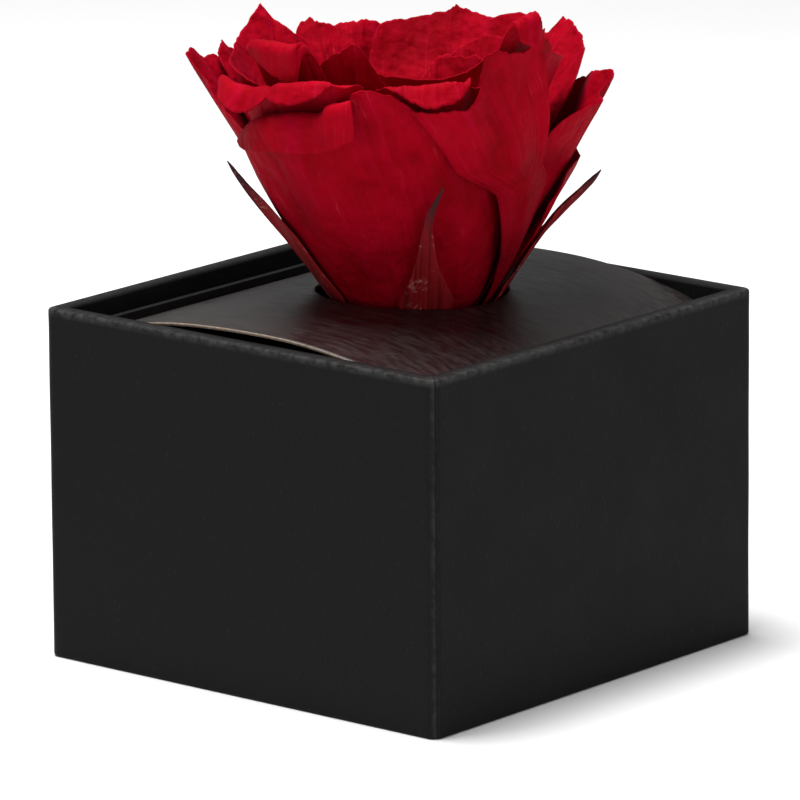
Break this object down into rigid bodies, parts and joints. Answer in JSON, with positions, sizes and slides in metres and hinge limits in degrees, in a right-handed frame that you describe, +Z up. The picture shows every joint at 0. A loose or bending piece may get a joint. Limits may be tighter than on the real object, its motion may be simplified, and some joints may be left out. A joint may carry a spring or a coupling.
{
  "type": "preserved rose box",
  "caption": "Preserved rose head standing in a bowed card inside an open square box covered in dark paper.",
  "frame": {"origin": "on the surface it stands on, under the middle of the box", "axes": "+Z up along the rose, +X and +Y square to two walls of the box"},
  "size_m": [0.08, 0.08, 0.1077],
  "materials": {
    "box_paper": "matt black paper glued on board, faintly wrinkled",
    "lining_board": "matt dark board",
    "insert_card": "dark card with a soft satin sheen and pale dust",
    "hip": "dry dark red plant skin",
    "sepal": "dyed dark red leaf, dry, scuffed pale on its ridges",
    "petal": "dyed crimson petal, soft and velvety with fine veins"
  },
  "bodies": {
    "root": {"box_tray": "box_paper", "board_left": "lining_board", "board_right": "lining_board", "insert_card": "insert_card", "rose_hip": "hip", "sepal_front": "sepal", "sepal_left": "sepal", "sepal_right": "sepal", "sepal_back_right": "sepal", "sepal_back_left": "sepal", "petal_front_right": "petal", "petal_front_left": "petal", "petal_left": "petal", "petal_right_low": "petal", "petal_right": "petal", "petal_back_right": "petal", "petal_back_left": "petal", "petal_left_back": "petal", "petal_shelf_left": "petal", "petal_shelf_front": "petal", "petal_right_curl": "petal", "petal_right_fold": "petal", "petal_back": "petal", "petal_back_middle": "petal", "petal_left_peak": "petal", "petal_left_inner": "petal", "petal_right_inner": "petal", "petal_front_inner": "petal", "petal_back_inner": "petal", "petal_heart_fold": "petal", "petal_heart_rim": "petal", "petal_heart_back": "petal", "petal_inner_1": "petal", "petal_inner_2": "petal", "petal_inner_3": "petal", "petal_inner_4": "petal", "petal_inner_5": "petal", "petal_inner_6": "petal", "petal_inner_7": "petal", "petal_inner_8": "petal"}
  },
  "joints": []
}
